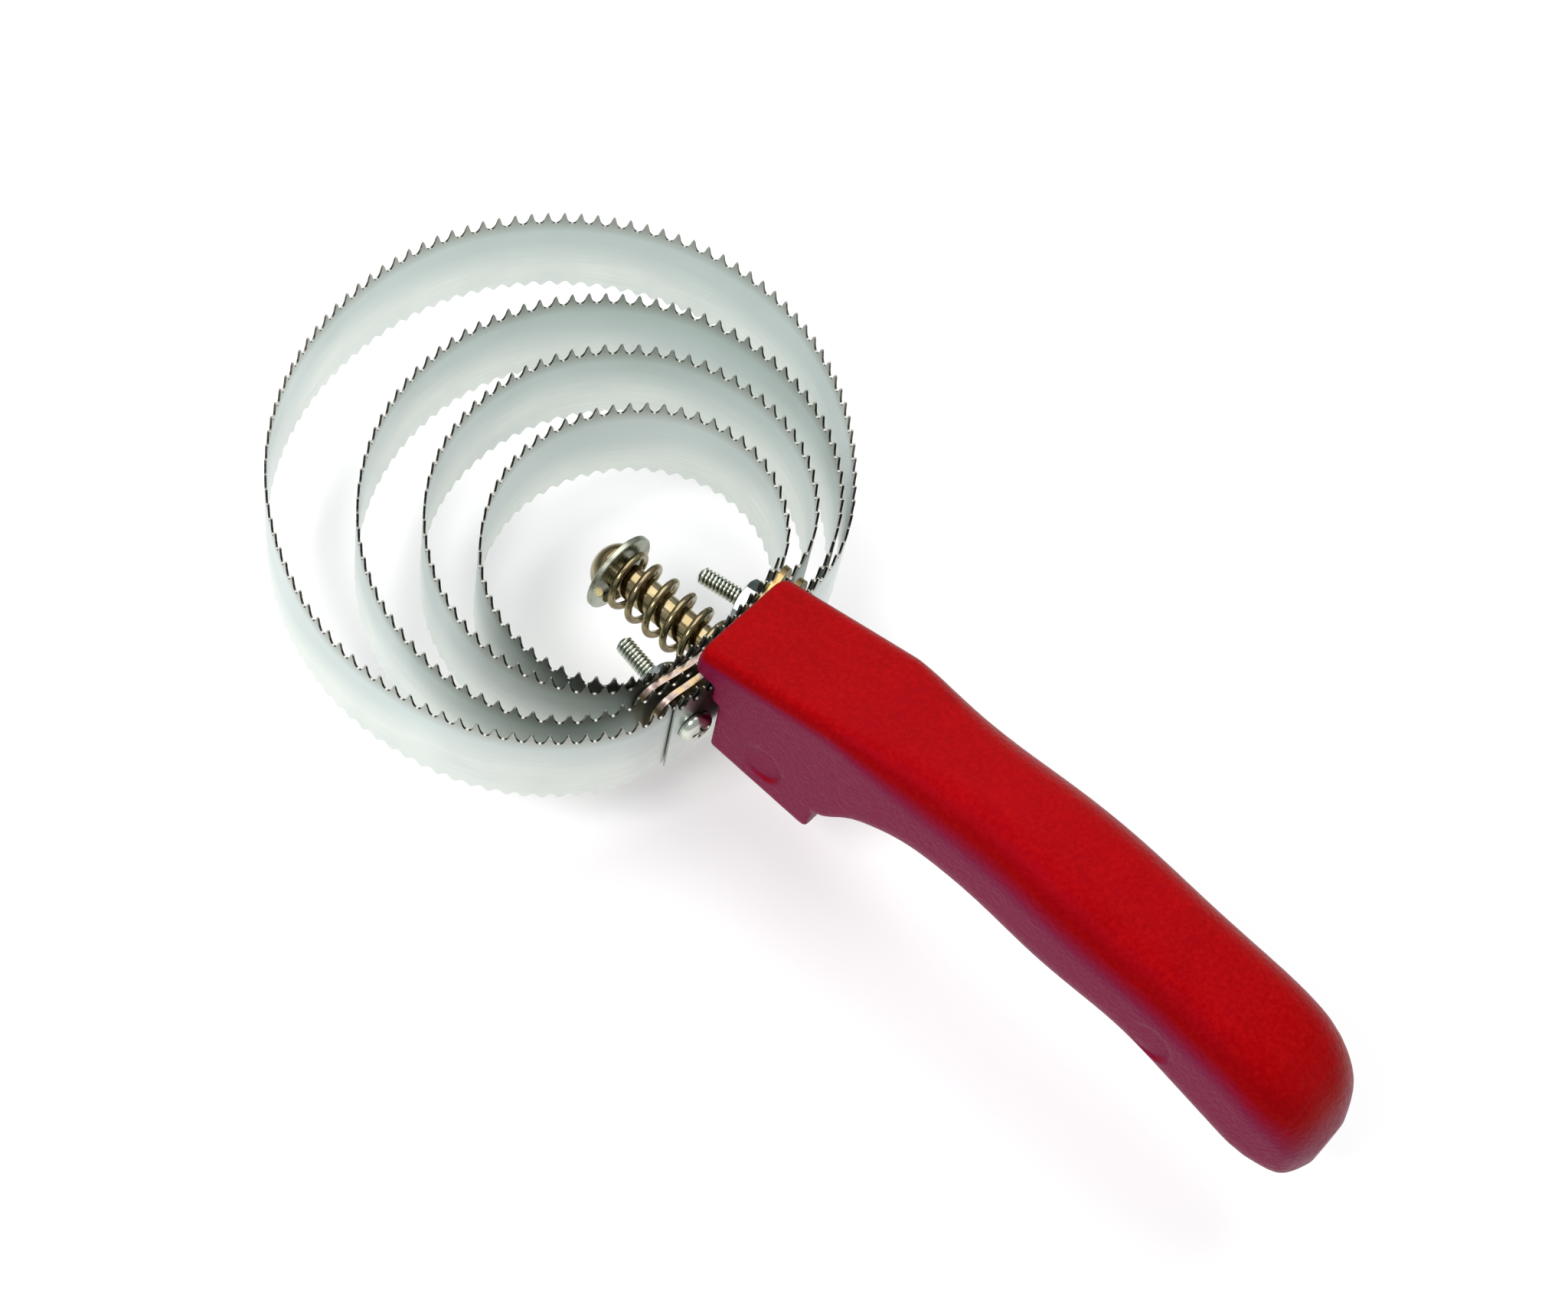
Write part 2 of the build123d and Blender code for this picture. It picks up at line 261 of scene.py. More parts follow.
def link(tree, source, target):
    """Joins two sockets, or sets the target if the source is a plain value."""
    if isinstance(source, bpy.types.NodeSocket):
        tree.links.new(source, target)
    elif isinstance(source, tuple) and len(source) == 3 and target.type == "RGBA":
        target.default_value = (*source, 1)
    else:
        target.default_value = source


def coords(tree, kind="Object", scale=(1, 1, 1)):
    """Texture coordinates, stretched by scale."""
    source = tree.nodes.new("ShaderNodeTexCoord")
    mapping = tree.nodes.new("ShaderNodeMapping")
    mapping.inputs["Scale"].default_value = scale
    link(tree, source.outputs[kind], mapping.inputs["Vector"])
    return mapping.outputs["Vector"]


def noise(tree, vector, scale, detail=3.0, rough=0.5):
    """A noise value from 0 to 1."""
    texture = tree.nodes.new("ShaderNodeTexNoise")
    texture.inputs["Scale"].default_value = scale
    texture.inputs["Detail"].default_value = detail
    texture.inputs["Roughness"].default_value = rough
    link(tree, vector, texture.inputs["Vector"])
    return texture.outputs["Fac"]


def spread(tree, value, from_low, from_high, to_low=0.0, to_high=1.0):
    """Maps a value's range onto another, clamped."""
    mapped = tree.nodes.new("ShaderNodeMapRange")
    link(tree, value, mapped.inputs["Value"])
    sockets = ("From Min", "From Max", "To Min", "To Max")
    for socket, number in zip(sockets, (from_low, from_high, to_low, to_high)):
        mapped.inputs[socket].default_value = number
    return mapped.outputs["Result"]


def maths(tree, operation, a, b=0.0):
    """One arithmetic step."""
    step = tree.nodes.new("ShaderNodeMath")
    step.operation = operation
    link(tree, a, step.inputs[0])
    link(tree, b, step.inputs[1])
    return step.outputs[0]


def blend_colors(tree, amount, low, high):
    """A colour between low and high."""
    mix = tree.nodes.new("ShaderNodeMix")
    mix.data_type = "RGBA"
    link(tree, amount, mix.inputs["Factor"])
    link(tree, low, mix.inputs[6])
    link(tree, high, mix.inputs[7])
    return mix.outputs[2]


def bump(tree, shader, height, distance, strength=1.0):
    """Raises the surface by height, in units of distance in metres."""
    node = tree.nodes.new("ShaderNodeBump")
    node.inputs["Strength"].default_value = strength
    node.inputs["Distance"].default_value = distance
    link(tree, height, node.inputs["Height"])
    link(tree, node.outputs["Normal"], shader.inputs["Normal"])


def distance_from(tree, point):
    """How far a surface point is from a fixed point of the object, in metres."""
    step = tree.nodes.new("ShaderNodeVectorMath")
    step.operation = "DISTANCE"
    link(tree, coords(tree), step.inputs[0])
    step.inputs[1].default_value = point
    return step.outputs["Value"]


def axis_value(tree, vector, axis):
    """One component of a vector."""
    parts = tree.nodes.new("ShaderNodeSeparateXYZ")
    link(tree, vector, parts.inputs[0])
    return parts.outputs[axis]


def strip_material():
    """Satin plated spring steel: rolling streaks along the strip, smoky tone towards the teeth, a darker
    patch round a spot among the inner rings beside the clamp, and a painted shadow under the handle's hood.
    """
    made, tree, shader = material("strip_steel", (0.60, 0.66, 0.62), 1.0, 0.3)
    along = coords(tree, "UV")
    streaks = noise(tree, coords(tree, "UV", (60, 2600, 1)), 1.0, 4.0, 0.6)
    clouds = noise(tree, coords(tree, "UV", (1, 1, 1)), 55.0, 3.0, 0.55)
    height = axis_value(tree, along, "Y")
    wander = noise(tree, coords(tree, "UV", (1, 0, 1)), 14.0, 2.0)
    drift = maths(tree, "MULTIPLY", spread(tree, wander, 0.35, 0.65), 0.007)
    cloudy = spread(tree, maths(tree, "ADD", height, drift), -0.001, 0.0065)
    smoky = spread(tree, height, 0.0062, 0.0098)
    # darker round a spot among the inner rings beside the clamp; the next mask is a painted shadow where
    # the handle's hood shades the strip
    dark_patch_inner_rings = spread(tree, distance_from(tree, place(-19, -27, 4)), 0.024, 0.006)
    shaded = spread(tree, distance_from(tree, place(5, -9, 4)), 0.009, 0.004)
    darkening_and_painted_shadow = maths(tree, "MAXIMUM", maths(tree, "MULTIPLY", dark_patch_inner_rings, 0.36),
                    maths(tree, "MULTIPLY", shaded, 0.95))
    tone = blend_colors(tree, spread(tree, clouds, 0.35, 0.7), (0.66, 0.71, 0.67), (0.78, 0.82, 0.76))
    tone = blend_colors(tree, maths(tree, "MULTIPLY", cloudy, 0.8), tone, (0.50, 0.585, 0.565))
    tone = blend_colors(tree, spread(tree, streaks, 0.35, 0.75, 0.0, 0.35), tone, (0.52, 0.57, 0.56))
    tone = blend_colors(tree, maths(tree, "MULTIPLY", smoky, 0.75), tone, (0.27, 0.27, 0.225))
    # this dark colour paints the patch by the clamp and the painted shadow under the hood
    tone = blend_colors(tree, darkening_and_painted_shadow, tone, (0.11, 0.09, 0.07))
    link(tree, tone, shader.inputs["Base Color"])
    rough = maths(tree, "ADD", spread(tree, clouds, 0.3, 0.75, 0.27, 0.40),
                  spread(tree, streaks, 0.3, 0.8, 0.0, 0.08))
    link(tree, rough, shader.inputs["Roughness"])
    bump(tree, shader, streaks, 0.00002, 0.5)
    return made


def cut_edge_material():
    """The stamped edge of the strip: dark steel with a painted highlight at the tips and gullets."""
    made, tree, shader = material("strip_cut_edge", (0.07, 0.07, 0.065), 1.0, 0.28)
    along = axis_value(tree, coords(tree, "UV"), "X")
    # painted highlight: the tips and gullet floors get a lighter colour that stands in for glints on the
    # edge
    phase = maths(tree, "PINGPONG", along, 0.5 * tooth_length * MM)
    tip_highlight = spread(tree, phase, 0.00026, 0.0001)
    gullet_highlight = spread(tree, phase, (0.5 * tooth_length - 0.42) * MM, (0.5 * tooth_length - 0.2) * MM)
    bright = maths(tree, "MAXIMUM", tip_highlight, gullet_highlight)
    grain = noise(tree, coords(tree, "Object"), 2500.0, 2.0)
    tone = blend_colors(tree, spread(tree, grain, 0.35, 0.7), (0.05, 0.048, 0.04), (0.16, 0.155, 0.13))
    # the light colour here is the painted highlight at the tips and gullets
    link(tree, blend_colors(tree, bright, tone, (0.36, 0.36, 0.32)), shader.inputs["Base Color"])
    link(tree, spread(tree, grain, 0.3, 0.7, 0.2, 0.38), shader.inputs["Roughness"])
    bump(tree, shader, grain, 0.00003, 0.4)
    return made


def zinc_material(name, dark, light, roughness, tint=None, root_shade=None):
    """Zinc plate: clouds of tone, hairline scratches, an optional passivated tint, optional painted shade
    in the thread roots.
    """
    made, tree, shader = material(name, light, 1.0, roughness)
    spots = coords(tree)
    clouds = noise(tree, spots, 260.0, 4.0, 0.6)
    scratches = noise(tree, coords(tree, "Object", (300, 2500, 300)), 1.0, 3.0, 0.7)
    tone = blend_colors(tree, spread(tree, clouds, 0.3, 0.7), dark, light)
    if tint:
        tone = blend_colors(tree, spread(tree, noise(tree, spots, 120.0, 2.0), 0.4, 0.62), tone, tint)
    # painted shade: the thread roots are darkened where shade falls between the crests
    if root_shade:
        depth = axis_value(tree, coords(tree, "UV"), "Y")
        tone = blend_colors(tree, spread(tree, depth, 0.4, 0.9), tone, root_shade)
    link(tree, tone, shader.inputs["Base Color"])
    rough = maths(tree, "ADD", spread(tree, clouds, 0.3, 0.7, roughness * 0.8, roughness * 1.3),
                  spread(tree, scratches, 0.45, 0.75, 0.0, 0.1))
    link(tree, rough, shader.inputs["Roughness"])
    bump(tree, shader, maths(tree, "ADD", scratches, clouds), 0.000008, 0.4)
    return made


def plate_material():
    """Yellow passivated plate, rubbed through to silver and pink along its upper edge."""
    made, tree, shader = material("gold_zinc", (0.75, 0.60, 0.32), 1.0, 0.26)
    spots = coords(tree)
    clouds = noise(tree, spots, 180.0, 4.0, 0.6)
    drift = noise(tree, spots, 70.0, 2.0)
    gold = blend_colors(tree, spread(tree, clouds, 0.3, 0.7), (0.40, 0.26, 0.07), (0.66, 0.47, 0.17))
    gold = blend_colors(tree, spread(tree, drift, 0.45, 0.68), gold, (0.42, 0.28, 0.16))
    scratches = noise(tree, coords(tree, "Object", (2200, 500, 400)), 1.0, 4.0, 0.75)
    rubbed = blend_colors(tree, spread(tree, scratches, 0.35, 0.65), (0.20, 0.14, 0.12), (0.40, 0.34, 0.31))
    face = tree.nodes.new("ShaderNodeNewGeometry").outputs["True Normal"]
    upward = spread(tree, axis_value(tree, face, "Z"), 0.45, 0.8)
    worn = maths(tree, "MULTIPLY", upward, spread(tree, noise(tree, spots, 320.0, 3.0), 0.25, 0.5))
    spot_y = axis_value(tree, spots, "Y")
    middle = CLAMP.y * MM
    worn = maths(tree, "MULTIPLY", worn, spread(tree, spot_y, middle + 0.010, middle - 0.002, 0.15, 1.0))
    link(tree, blend_colors(tree, worn, gold, rubbed), shader.inputs["Base Color"])
    link(tree, spread(tree, scratches, 0.3, 0.75, 0.2, 0.4), shader.inputs["Roughness"])
    bump(tree, shader, scratches, 0.00004, 0.5)
    return made


def grip_material():
    """Red moulded plastic: pebbled grain, slight mottling, painted shade on the shoulders and a painted
    purple shade and reflection on the lower faces.
    """
    made, tree, shader = material("red_plastic", (0.30, 0.001, 0.002), 0.0, 0.42)
    shader.inputs["Specular IOR Level"].default_value = 0.15
    shader.inputs["Specular Tint"].default_value = (1.0, 0.06, 0.22, 1)
    spots = coords(tree)
    mottle = noise(tree, spots, 90.0, 4.0, 0.6)
    speckle = noise(tree, spots, 1150.0, 3.0, 0.65)
    pebbles = tree.nodes.new("ShaderNodeTexVoronoi")
    pebbles.feature = "SMOOTH_F1"
    pebbles.inputs["Scale"].default_value = 1250.0
    link(tree, spots, pebbles.inputs["Vector"])
    deep, bright = (0.265, 0.0004, 0.0005), (0.315, 0.0005, 0.0007)
    tone = blend_colors(tree, spread(tree, mottle, 0.3, 0.7), deep, bright)
    tone = blend_colors(tree, spread(tree, speckle, 0.42, 0.72, 0.0, 0.35), tone, (0.50, 0.006, 0.004))
    face = tree.nodes.new("ShaderNodeNewGeometry").outputs["Normal"]
    # painted shade: faces that turn from the top towards the sides get a darker red, where the light falls
    # off
    painted_shoulder_shade = spread(tree, axis_value(tree, face, "Z"), 0.94, 0.72, 0.0, 0.45)
    tone = blend_colors(tree, painted_shoulder_shade, tone, (0.16, 0.0004, 0.0006))
    # painted shade and painted reflection: lower faces turn dark purple, standing in for a bluish
    # reflection on the shaded sides
    painted_side_shade_and_reflection = spread(tree, axis_value(tree, face, "Z"), 0.55, 0.15)
    tone = blend_colors(tree, maths(tree, "MULTIPLY", painted_side_shade_and_reflection, 0.8), tone, (0.145, 0.004, 0.045))
    link(tree, tone, shader.inputs["Base Color"])
    link(tree, spread(tree, speckle, 0.3, 0.7, 0.36, 0.52), shader.inputs["Roughness"])
    relief = maths(tree, "ADD", pebbles.outputs["Distance"], maths(tree, "MULTIPLY", speckle, 0.8))
    bump(tree, shader, relief, 0.00013, 0.6)
    return made


# ---------------------------------------------------------------- spiral blade
def sag(y, radius):
    """How far a layer of this radius has curved back towards the spiral at y."""
    return radius - sqrt(radius**2 - y**2)


def layer(x, radius):
    """Points that hold one layer of the strip against its plate, from +Y to -Y."""
    return [(x - sag(y, radius), y) for y in (18.0, 9.0, 0.0, -9.0, -18.0)]


INNER_NEAR, INNER_FAR = 2.45, 3.15
OUTER_NEAR, OUTER_FAR = 3.6, 4.3
INNER_RADIUS, MIDDLE_RADIUS, OUTER_RADIUS = 75.0, 90.0, 110.0
RING_4 = [(-10.2, -24.3), (-22.8, -28.5), (-36.3, -25.4), (-48.2, -14.2), (-53.5, 3.8),
          (-48.0, 20.8), (-36.6, 30.4), (-23.9, 32.2), (-12.2, 27.2)]
RING_3 = [(-8.6, -25.0), (-19.0, -31.7), (-33.0, -33.2), (-48.0, -27.9), (-60.8, -15.4),
          (-66.6, 2.2), (-63.4, 21.7), (-51.5, 36.2), (-36.0, 42.0), (-21.4, 40.5),
          (-9.6, 33.2), (-3.6, 24.6)]
RING_2 = [(-3.4, -24.6), (-9.2, -34.2), (-20.4, -40.9), (-35.9, -42.7), (-52.6, -38.2),
          (-67.4, -26.6), (-77.2, -9.0), (-79.5, 10.5), (-72.5, 31.2), (-56.5, 46.0),
          (-38.0, 50.5), (-20.1, 46.9), (-7.1, 37.4), (0.0, 25.6)]
RING_1 = [(0.9, -25.0), (-4.4, -34.8), (-15.8, -44.9), (-31.5, -50.7), (-48.0, -51.6),
          (-66.0, -46.3), (-83.0, -34.4), (-95.3, -15.9), (-100.2, 7.1), (-97.3, 27.5),
          (-85.0, 47.1), (-66.5, 59.2), (-44.5, 62.1), (-22.6, 54.5), (-6.6, 40.4), (1.4, 26.2)]
STRIP_POINTS = np.array(
    [(-INNER_FAR - sag(17.3, INNER_RADIUS), 17.3)] + layer(-INNER_FAR, INNER_RADIUS)[1:] + RING_4
    + layer(-INNER_NEAR, INNER_RADIUS) + RING_3 + layer(0.0, MIDDLE_RADIUS) + RING_2
    + layer(OUTER_NEAR, OUTER_RADIUS) + RING_1 + layer(OUTER_FAR, OUTER_RADIUS)[:4]
    + [(OUTER_FAR - sag(18.9, OUTER_RADIUS), -18.9)])

chords = np.hypot(*np.diff(STRIP_POINTS, axis=0).T)
knots = np.concatenate(([0], np.cumsum(chords)))
fine = np.linspace(0, knots[-1], 24001)
line = np.stack([smooth_curve(knots, STRIP_POINTS[:, i])(fine) for i in (0, 1)], axis=1)
run = np.concatenate(([0], np.cumsum(np.hypot(*np.diff(line, axis=0).T))))
tooth_count = int(run[-1] / TOOTH_PITCH)
tooth_length = run[-1] / tooth_count


def tooth_height(phase):
    """How far the upper edge lies below the tips, where phase is 0 on a tip and 1 half a pitch away."""
    half = tooth_length / 2
    x = phase * half
    tip_end, floor_start = TIP_RADIUS * 0.85, half - GULLET_RADIUS * 0.85
    tip_drop = TIP_RADIUS * 0.5
    floor_rise = GULLET_RADIUS * 0.5
    flank = tip_drop + (x - tip_end) / (floor_start - tip_end) * (TOOTH_DEPTH - tip_drop - floor_rise)
    tip = tip_drop * (x / tip_end) ** 2
    floor = TOOTH_DEPTH - floor_rise * ((half - x) / (half - floor_start)) ** 2
    return np.where(x < tip_end, tip, np.where(x > floor_start, floor, flank))


def make_blade():
    """The strip as one closed band: a column of points at every station along its run."""
    shares = np.array([0, 0.04, 0.09, 0.14, 0.2, 0.3, 0.37, 0.42, 0.46, 0.5])
    shares = np.concatenate((shares, 1 - shares[-2:0:-1]))
    stations = (np.arange(tooth_count)[:, None] + shares[None, :]).ravel() * tooth_length
    stations = np.append(stations, tooth_count * tooth_length)
    where = np.stack([np.interp(stations, run, line[:, i]) for i in (0, 1)], axis=1)
    slope = np.stack([np.gradient(line[:, i], run) for i in (0, 1)], axis=1)
    slope = np.stack([np.interp(stations, run, slope[:, i]) for i in (0, 1)], axis=1)
    slope /= np.hypot(*slope.T)[:, None]
    side = np.stack((slope[:, 1], -slope[:, 0]), axis=1) * STRIP_THICK / 2
    phase = np.abs((stations / tooth_length + 0.5) % 1 - 0.5) * 2
    top = STRIP_TOP - tooth_height(phase)
    bottom = STRIP_BOTTOM + SCALLOP_DEPTH * (0.5 - 0.5 * np.cos(pi * phase)) ** 0.8
    levels = [bottom, np.full_like(top, BAND_LOW), np.full_like(top, BAND_HIGH), top]
    verts = []
    uv = []
    for i in range(len(stations)):
        for sign in (1, -1):
            order = levels if sign > 0 else levels[::-1]
            x, y = where[i] + sign * side[i]
            verts += [(x, y, level[i]) for level in order]
            uv += [(stations[i] * MM, level[i] * MM) for level in order]
    faces = grid_faces(len(stations), 8, closed_columns=True)
    last = (len(stations) - 1) * 8
    faces += [tuple(range(7, -1, -1)), tuple(range(last, last + 8))]
    blade = new_object("blade", verts, faces)
    set_uv(blade, uv)
    blade.data.materials.append(strip_material())
    blade.data.materials.append(cut_edge_material())
    stamped = [1 if i % 8 in (3, 7) else 0 for i in range((len(stations) - 1) * 8)] + [1, 1]
    blade.data.polygons.foreach_set("material_index", stamped)
    outward(blade)
    cut(blade, [rod("blade_cutter", (-9, 9), BOLT_HOLE)])
    smooth(blade, 38)
    return blade


blade = make_blade()
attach(blade, "head")
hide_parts("spiral_blade")


# ---------------------------------------------------------------- return spring
COIL_TURNS = (0.0, 0.25, 0.5, 1.0, 1.5, 2.5, 3.5, 4.5, 5.0, 5.5, 5.85, 6.05)
COIL_PLACES = (0.0, 0.05, 0.35, 1.85, 3.95, 8.2, 12.45, 16.7, 18.75, 20.55, 21.3, 21.4)


def make_spring():
    """Wire wound on a variable pitch: closed at the washer, open towards the clamp."""
    low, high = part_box("return_spring")
    start = low[0] / MM - CLAMP.x + WIRE
    length = (high[0] - low[0]) / MM - 2 * WIRE
    place_at = smooth_curve(COIL_TURNS, np.array(COIL_PLACES) * length / COIL_PLACES[-1])
    rings = int(COIL_TURNS[-1] * 60)
    sides = 16
    lean = length / COIL_TURNS[-1] / (tau * COIL)
    verts = []
    for t in np.linspace(0, COIL_TURNS[-1], rings):
        a = tau * t + COIL_START
        radial = Vector((0, cos(a), sin(a)))
        tangent = Vector((lean, -sin(a), cos(a))).normalized()
        other = tangent.cross(radial).normalized()
        middle = Vector((start + float(place_at(t)), COIL * cos(a), COIL * sin(a)))
        for k in range(sides):
            b = tau * k / sides
            verts.append(tuple(middle + (radial * cos(b) + other * sin(b)) * WIRE))
    faces = grid_faces(rings, sides, closed_columns=True)
    faces += [tuple(range(sides - 1, -1, -1)), tuple(range((rings - 1) * sides, rings * sides))]
    spring = new_object("spring_wire", verts, faces)
    outward(spring)
    smooth(spring, 50)
    return spring, length + 2 * WIRE


spring_finish = zinc_material("spring_zinc", (0.17, 0.14, 0.065), (0.38, 0.32, 0.17), 0.14,
                              tint=(0.27, 0.21, 0.12))
spring, spring_length = make_spring()
spring.data.materials.append(spring_finish)
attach(spring, "head")
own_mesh(spring)
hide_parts("return_spring")


# ---------------------------------------------------------------- clamp screws
def make_screw(name, side):
    """A pan-head screw with a helical thread and a cross recess."""
    edge = OUTER_FAR + STRIP_THICK / 2 - sag(SCREW_Y, OUTER_RADIUS) + 0.15
    origin = Vector((edge, side * SCREW_Y, 0))
    down = Vector((-cos(SCREW_SPLAY), -side * sin(SCREW_SPLAY), 0))
    across = Vector((0, 0, 1))
    third = down.cross(across)
    sides = 36
    head = [(0.0, -SCREW_HEAD_HEIGHT)]
    for i in range(1, 9):
        share = i / 8
        radius = SCREW_HEAD * (0.46 + 0.54 * sin(share * pi / 2))
        head.append((radius, -SCREW_HEAD_HEIGHT * (0.24 + 0.76 * cos(share * pi / 2))))
    head += [(SCREW_HEAD, -0.25), (SCREW_HEAD * 0.97, 0.0), (SCREW_MAJOR, 0.0)]
    threaded_length = SCREW_LENGTH - SCREW_POINT
    steps = int(threaded_length / SCREW_PITCH * 8)
    rows = [(r, h, False) for r, h in head[1:]]
    rows += [(0, (i + 1) * threaded_length / steps, True) for i in range(steps)]
    rows.append((SCREW_MINOR - 0.25, SCREW_LENGTH, False))
    verts = []
    uv = []
    for radius, height, threaded in rows:
        for k in range(sides):
            a = tau * k / sides
            r = radius
            if threaded:
                wave = abs((height / SCREW_PITCH - k / sides) % 1 - 0.5) * 2
                r = SCREW_MINOR + (SCREW_MAJOR - SCREW_MINOR) * min(max((wave - 0.06) / 0.6, 0), 1)
            verts.append(tuple(origin + down * height + (across * cos(a) + third * sin(a)) * r))
            uv.append((height * MM, (SCREW_MAJOR - r) / (SCREW_MAJOR - SCREW_MINOR) if threaded else 0.0))
    faces = grid_faces(len(rows), sides, closed_columns=True)
    faces += [tuple(range(sides - 1, -1, -1)), tuple(range(len(verts) - sides, len(verts)))]
    screw = new_object(name, verts, faces)
    set_uv(screw, uv)
    outward(screw)
    slots = []
    for width, length in ((RECESS_NARROW, RECESS_WIDE), (RECESS_WIDE, RECESS_NARROW)):
        tool = []
        for height, share in ((-SCREW_HEAD_HEIGHT - 0.4, 1.1), (-RECESS_FLOOR, 0.45)):
            reach = [size * (share if size == RECESS_WIDE else 1) for size in (width, length)]
            for i, j in ((-1, -1), (-1, 1), (1, -1), (1, 1)):
                spot = origin + down * height
                spot += across * i * reach[0] + third * j * reach[1]
                tool.append(tuple(spot))
        slots.append(new_object("slot_cutter", tool, [(0, 1, 3, 2), (4, 6, 7, 5), (0, 4, 5, 1),
                                                      (2, 3, 7, 6), (0, 2, 6, 4), (1, 5, 7, 3)]))
    cut(screw, slots)
    smooth(screw, 42)
    return screw


screw_finish = zinc_material("white_zinc", (0.46, 0.49, 0.42), (0.68, 0.71, 0.62), 0.2,
                             root_shade=(0.13, 0.14, 0.10))
nut_finish = zinc_material("nut_zinc", (0.24, 0.27, 0.27), (0.36, 0.41, 0.41), 0.2)
for name, side in (("left", 1), ("right", -1)):
    screw = make_screw(f"{name}_screw", side)
    screw.data.materials.append(screw_finish)
    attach(screw, "head")
    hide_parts(f"{name}_clamp_screw")


# ---------------------------------------------------------------- handle
GRIP_ROWS = ((30.0, 12.0, -1.0, 26.0, 3.6, 1.4), (32.5, 12.0, -0.2, 26.4, 4.2, 2.0),
             (36.2, 11.9, 3.0, 26.8, 5.0, 3.6), (40.7, 11.7, 5.0, 27.25, 6.0, 5.4),
             (47.7, 11.5, 6.8, 28.0, 7.2, 7.0), (54.7, 11.5, 7.2, 28.9, 8.0, 8.0),
             (65.7, 11.8, 7.3, 29.7, 8.2, 8.2), (76.7, 12.2, 6.5, 29.3, 8.2, 8.2),
             (86.7, 12.1, 6.3, 28.4, 8.0, 8.0), (95.7, 11.8, 5.7, 27.7, 8.0, 8.0),
             (106.7, 11.9, 3.4, 26.5, 8.0, 8.0), (117.7, 12.0, 0.4, 24.7, 8.0, 8.0),
             (124.7, 11.6, -1.6, 21.8, 8.0, 8.4), (128.9, 10.4, -2.3, 18.8, 8.0, 8.4),
             (132.2, 7.8, -1.4, 14.0, 6.8, 6.8), (133.8, 4.0, 1.4, 9.6, 3.6, 3.6))
BLOCK_TOP = ((HOOD_FRONT, 17.7), (BLOCK_BACK, 25.95))
WITNESS = ((18.3, 1.5), (101.9, 14.2))
WITNESS_RADIUS = 4.0


def section(x, half, under, top, low_round, high_round):
    """Points round one rounded rectangle square to the bolt, starting under the +Y side."""
    points = []
    corners = ((half - high_round, top - high_round, high_round, 0),
               (high_round - half, top - high_round, high_round, 1),
               (low_round - half, under + low_round, low_round, 2),
               (half - low_round, under + low_round, low_round, 3))
    for y, z, radius, quarter in corners:
        for i in range(9):
            a = (quarter + i / 8) * pi / 2
            points.append((x, y + radius * cos(a), z + radius * sin(a)))
    return points


def block_section(x):
    """The block's section, with its front corners and front top edge rounded."""
    (x0, z0), (x1, z1) = BLOCK_TOP
    share = (x - x0) / (x1 - x0)
    top = z0 + (z1 - z0) * share - arc_round(x - x0, 1.0)
    half = BLOCK_HALF - arc_round(x - x0, 1.8)
    under = BLOCK_UNDER - 1.7 * share + arc_round(BLOCK_BACK - x, 1.2)
    return section(x, half, under, top, 1.3, 2.6 + 1.0 * share)


def make_handle():
    """Block and grip lofted as one skin, with the seat and the two screw pockets cut in front."""
    rows = [block_section(x) for x in HOOD_FRONT + np.array([0.0, 0.15, 0.4, 0.8, 1.3, 1.9, 2.6, 3.2])]
    rows += [block_section(x) for x in np.linspace(6, BLOCK_BACK - 1.4, 12)]
    rows += [block_section(BLOCK_BACK - d) for d in (1.0, 0.6, 0.3, 0.1, 0.0)]
    table = np.array(GRIP_ROWS)
    curves = [smooth_curve(table[:, 0], table[:, i]) for i in range(1, 6)]
    nose = table[-1, 0] - np.array([12, 9, 6.5, 4.6, 3.2, 2.2, 1.4, 0.8, 0.35, 0.1, 0.0])
    for x in np.concatenate((np.linspace(table[0, 0], nose[0] - 1, 70), nose)):
        half, under, top, high, low = (float(curve(x)) for curve in curves)
        limit = min(half, (top - under) / 2) - 0.02
        rows.append(section(x, half, under, top, min(low, limit), min(high, limit)))
    size = len(rows[0])
    verts = [v for row in rows for v in row]
    faces = grid_faces(len(rows), size, closed_columns=True)
    faces += [tuple(range(size - 1, -1, -1)), tuple(range(len(verts) - size, len(verts)))]
    handle = new_object("grip", verts, faces)
    outward(handle)
    low = BLOCK_UNDER - 2
    cut(handle, [bar("seat_cutter", (-2, SEAT_FRONT), (-14, 14), (low, HOOD_UNDER)),
                 bar("left_cutter", (0, POCKET_BACK), (POCKET_SIDE, 14), (low, POCKET_TOP)),
                 bar("right_cutter", (0, POCKET_BACK), (-14, -POCKET_SIDE), (low, POCKET_TOP)),
                 rod("bore_cutter", (0, BORE_END), BORE)])
    remesh = handle.modifiers.new("skin", "REMESH")
    remesh.mode = "VOXEL"
    remesh.voxel_size = SKIN_CELL * MM
    relax = handle.modifiers.new("relax", "SMOOTH")
    relax.factor = 0.5
    relax.iterations = 6
    apply_modifiers(handle)
    sink_witness_marks(handle)
    smooth(handle, 180)
    return handle


def sink_witness_marks(handle):
    """Presses the two round moulding marks into the -Y side, each a little deeper at the back."""
    for vertex in handle.data.vertices:
        spot = vertex.co / MM - CLAMP
        if spot.y > -8:
            continue
        for x, z in WITNESS:
            away = sqrt((spot.x - x) ** 2 + (spot.z - z) ** 2)
            if away < WITNESS_RADIUS + 0.3:
                edge = min(max((WITNESS_RADIUS + 0.3 - away) / 0.45, 0), 1)
                depth = 0.42 + 0.1 * (spot.x - x)
                vertex.co.y += depth * edge * MM


handle = make_handle()
handle.data.materials.append(grip_material())
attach(handle, "handle")
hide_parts("handle")


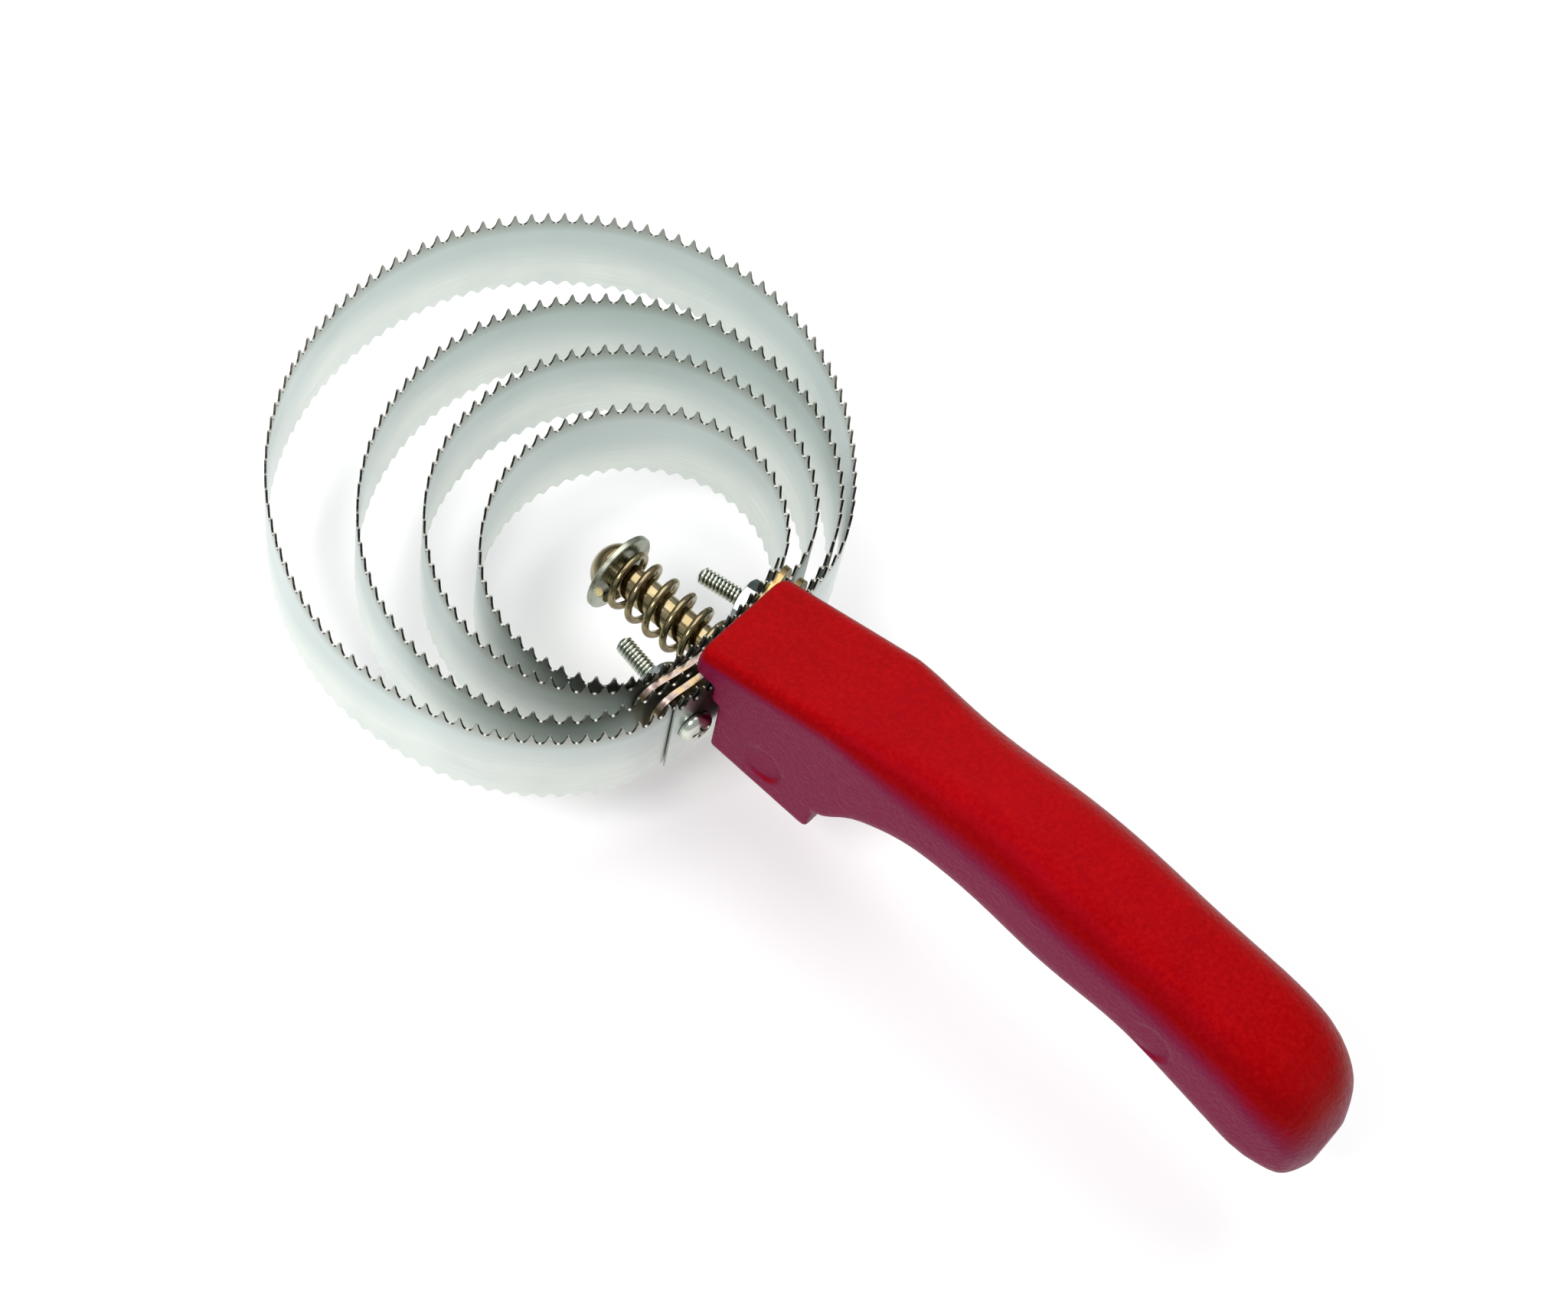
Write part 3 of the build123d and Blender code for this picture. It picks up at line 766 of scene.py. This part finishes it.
# ---------------------------------------------------------------- kept CAD nodes
def finish_node(name, finish, width, angle=35):
    """Gives a CAD node its material and softened edges."""
    node = frame["nodes"][name]
    node.data.materials.clear()
    node.data.materials.append(finish)
    bevel = node.modifiers.new("soft edges", "BEVEL")
    bevel.width = width * MM
    bevel.segments = 3
    bevel.limit_method = "ANGLE"
    bevel.angle_limit = radians(angle)
    bevel.harden_normals = True


plate_finish = plate_material()
washer_finish = zinc_material("washer_zinc", (0.27, 0.29, 0.22), (0.46, 0.48, 0.39), 0.24)
bolt_finish = zinc_material("bolt_zinc", (0.20, 0.15, 0.065), (0.46, 0.39, 0.24), 0.1,
                            tint=(0.33, 0.25, 0.13))
finish_node("inner_clamp_plate", plate_finish, 0.3)
finish_node("outer_clamp_plate", plate_finish, 0.3)
finish_node("left_clamp_nut", nut_finish, 0.12)
finish_node("right_clamp_nut", nut_finish, 0.12)
finish_node("captive_nut", nut_finish, 0.12)
finish_node("bolt_washer", washer_finish, 0.12)
finish_node("draw_bolt", bolt_finish, 0.15)


# ---------------------------------------------------------------- floor, light and camera
def make_floor():
    """A wide, faintly mottled white sweep, low enough that the grip clears it when turned over."""
    cells = 8
    grip_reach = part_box("handle")[1][2] / MM - CLAMP.z
    spots = np.linspace(-FLOOR_HALF, FLOOR_HALF, cells + 1)
    base = -grip_reach - FLOOR_GAP
    verts = [(x - CLAMP.x, y - CLAMP.y, base) for y in spots for x in spots]
    floor = new_object("floor", verts, grid_faces(cells + 1, cells + 1))
    made, tree, shader = material("floor_paper", (0.94, 0.94, 0.94), 0.0, 0.8)
    mottle = noise(tree, coords(tree), 30.0, 3.0)
    tone = blend_colors(tree, mottle, (0.93, 0.93, 0.93), (0.95, 0.95, 0.95))
    link(tree, tone, shader.inputs["Base Color"])
    shader.inputs["Specular IOR Level"].default_value = 0.1
    shader.inputs["Emission Color"].default_value = (1, 1, 1, 1)
    shader.inputs["Emission Strength"].default_value = 0.14
    floor.data.materials.append(made)


def make_light(name, location, target, size, power, color):
    """One soft rectangular lamp, aimed at a target."""
    lamp = bpy.data.lights.new(name, "AREA")
    lamp.shape = "RECTANGLE"
    lamp.size, lamp.size_y = size
    lamp.energy = power
    lamp.color = color
    obj = bpy.data.objects.new(name, lamp)
    obj.location = location
    obj.rotation_euler = (Vector(target) - Vector(location)).to_track_quat("-Z", "Y").to_euler()
    bpy.context.scene.collection.objects.link(obj)


def make_world():
    """Even white surroundings, shown without tone mapping so that white stays white."""
    bpy.context.scene.view_settings.view_transform = "Standard"
    world = bpy.data.worlds.new("studio")
    world.use_nodes = True
    sky = world.node_tree.nodes["Background"]
    sky.inputs["Color"].default_value = (0.95, 0.97, 1.0, 1)
    sky.inputs["Strength"].default_value = 0.55
    bpy.context.scene.world = world


def make_camera():
    """The camera, aimed by its azimuth and elevation round the comb and then rolled."""
    data = bpy.data.cameras.new("camera")
    data.sensor_width = 36.0
    data.lens = CAMERA_LENS
    data.clip_start = 0.01
    camera = bpy.data.objects.new("camera", data)
    level = cos(CAMERA_ELEVATION)
    back = Vector((level * cos(CAMERA_AZIMUTH), level * sin(CAMERA_AZIMUTH), sin(CAMERA_ELEVATION)))
    right = Vector((0, 0, 1)).cross(back).normalized()
    aim = Matrix((right, back.cross(right), back)).transposed().to_4x4()
    turn = aim @ Matrix.Rotation(CAMERA_ROLL, 4, "Z")
    spot = Vector(CAMERA_AIM) + back * CAMERA_DISTANCE
    camera.matrix_world = Matrix.Translation(place(*spot)) @ turn
    bpy.context.scene.collection.objects.link(camera)
    bpy.context.scene.camera = camera


make_floor()
make_world()
make_light("overhead", (-0.16, 0.24, 0.72), (-0.03, 0.0, 0.0), (0.75, 0.75), 3.9, (1.0, 0.99, 0.97))
make_light("key", (-0.05, -0.40, 0.55), (0.03, 0.0, 0.02), (0.22, 0.16), 1.9, (1.0, 0.97, 0.98))
make_camera()
